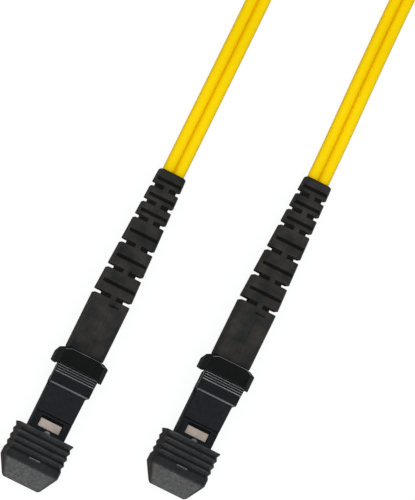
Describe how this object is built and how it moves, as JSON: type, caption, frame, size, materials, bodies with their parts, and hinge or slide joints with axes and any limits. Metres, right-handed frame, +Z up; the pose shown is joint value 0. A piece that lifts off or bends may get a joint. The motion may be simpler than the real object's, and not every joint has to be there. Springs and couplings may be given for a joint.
{
  "type": "duplex fibre patch cord",
  "caption": "Yellow duplex fibre patch cord, coiled and tied, with a capped rectangular latching plug and a slotted strain-relief boot at each end.",
  "frame": {"origin": "on the floor under the middle of the two plugs' common box, without the cord", "axes": "+Y from the dust caps towards the cord, +Z up from the floor, +X to the right seen from above"},
  "size_m": [0.0511, 0.1673, 0.0099],
  "materials": {
    "cap_black": "moulded black cap plastic, satin",
    "plug_black": "moulded black plug plastic, satin",
    "boot_black": "soft black boot rubber, matte",
    "keeper_beige": "pale beige moulding",
    "ferrule_resin": "dark moulded ferrule resin",
    "soft_boot": "soft grey boot",
    "spring_steel": "bright spring wire",
    "sleeve_metal": "plated crimp sleeve",
    "fibre_glass": "glass fibre",
    "jacket_yellow": "yellow cable jacket, satin",
    "tie_black": "black strap"
  },
  "bodies": {
    "cord": {"cable_run_a": "jacket_yellow", "cable_run_b": "jacket_yellow", "cable_coil": "jacket_yellow", "coil_tie": "tie_black", "plug_housing_a": "plug_black", "rear_collar_a": "plug_black", "rear_insert_a": "plug_black", "crimp_sleeve_a": "sleeve_metal", "ferrule_spring_a": "spring_steel", "boot_a": "boot_black", "plug_housing_b": "plug_black", "rear_collar_b": "plug_black", "rear_insert_b": "plug_black", "crimp_sleeve_b": "sleeve_metal", "ferrule_spring_b": "spring_steel", "boot_b": "boot_black"},
    "cap_a": {"dust_cap_a": "cap_black"},
    "lever_a": {"latch_lever_a": "plug_black"},
    "ferrule_a": {"ferrule_a": "ferrule_resin", "pin_keeper_a": "keeper_beige", "ferrule_boot_a": "soft_boot", "fibre_pair_a": "fibre_glass"},
    "cap_b": {"dust_cap_b": "cap_black"},
    "lever_b": {"latch_lever_b": "plug_black"},
    "ferrule_b": {"ferrule_b": "ferrule_resin", "pin_keeper_b": "keeper_beige", "ferrule_boot_b": "soft_boot", "fibre_pair_b": "fibre_glass"}
  },
  "joints": [
    {"name": "cap_pull_a", "type": "slide", "parent": "cord", "child": "cap_a", "axis": [0, -1, 0], "range_m": [0, 0.012]},
    {"name": "lever_press_a", "type": "hinge", "parent": "cord", "child": "lever_a", "pos_m": [-0.01205, -0.0227, 0.00728], "axis": [-1, 0, 0], "range_deg": [0, 4], "stiffness_Nm_per_rad": 0.2},
    {"name": "ferrule_push_a", "type": "slide", "parent": "cord", "child": "ferrule_a", "axis": [0, 1, 0], "range_m": [0, 0.0008], "stiffness_N_per_m": 2000, "springref_m": -0.002, "deforming": ["ferrule_spring_a"]},
    {"name": "cap_pull_b", "type": "slide", "parent": "cord", "child": "cap_b", "axis": [0, -1, 0], "range_m": [0, 0.012]},
    {"name": "lever_press_b", "type": "hinge", "parent": "cord", "child": "lever_b", "pos_m": [0.01205, -0.0123, 0.00728], "axis": [-1, 0, 0], "range_deg": [0, 4], "stiffness_Nm_per_rad": 0.2},
    {"name": "ferrule_push_b", "type": "slide", "parent": "cord", "child": "ferrule_b", "axis": [0, 1, 0], "range_m": [0, 0.0008], "stiffness_N_per_m": 2000, "springref_m": -0.002, "deforming": ["ferrule_spring_b"]}
  ]
}
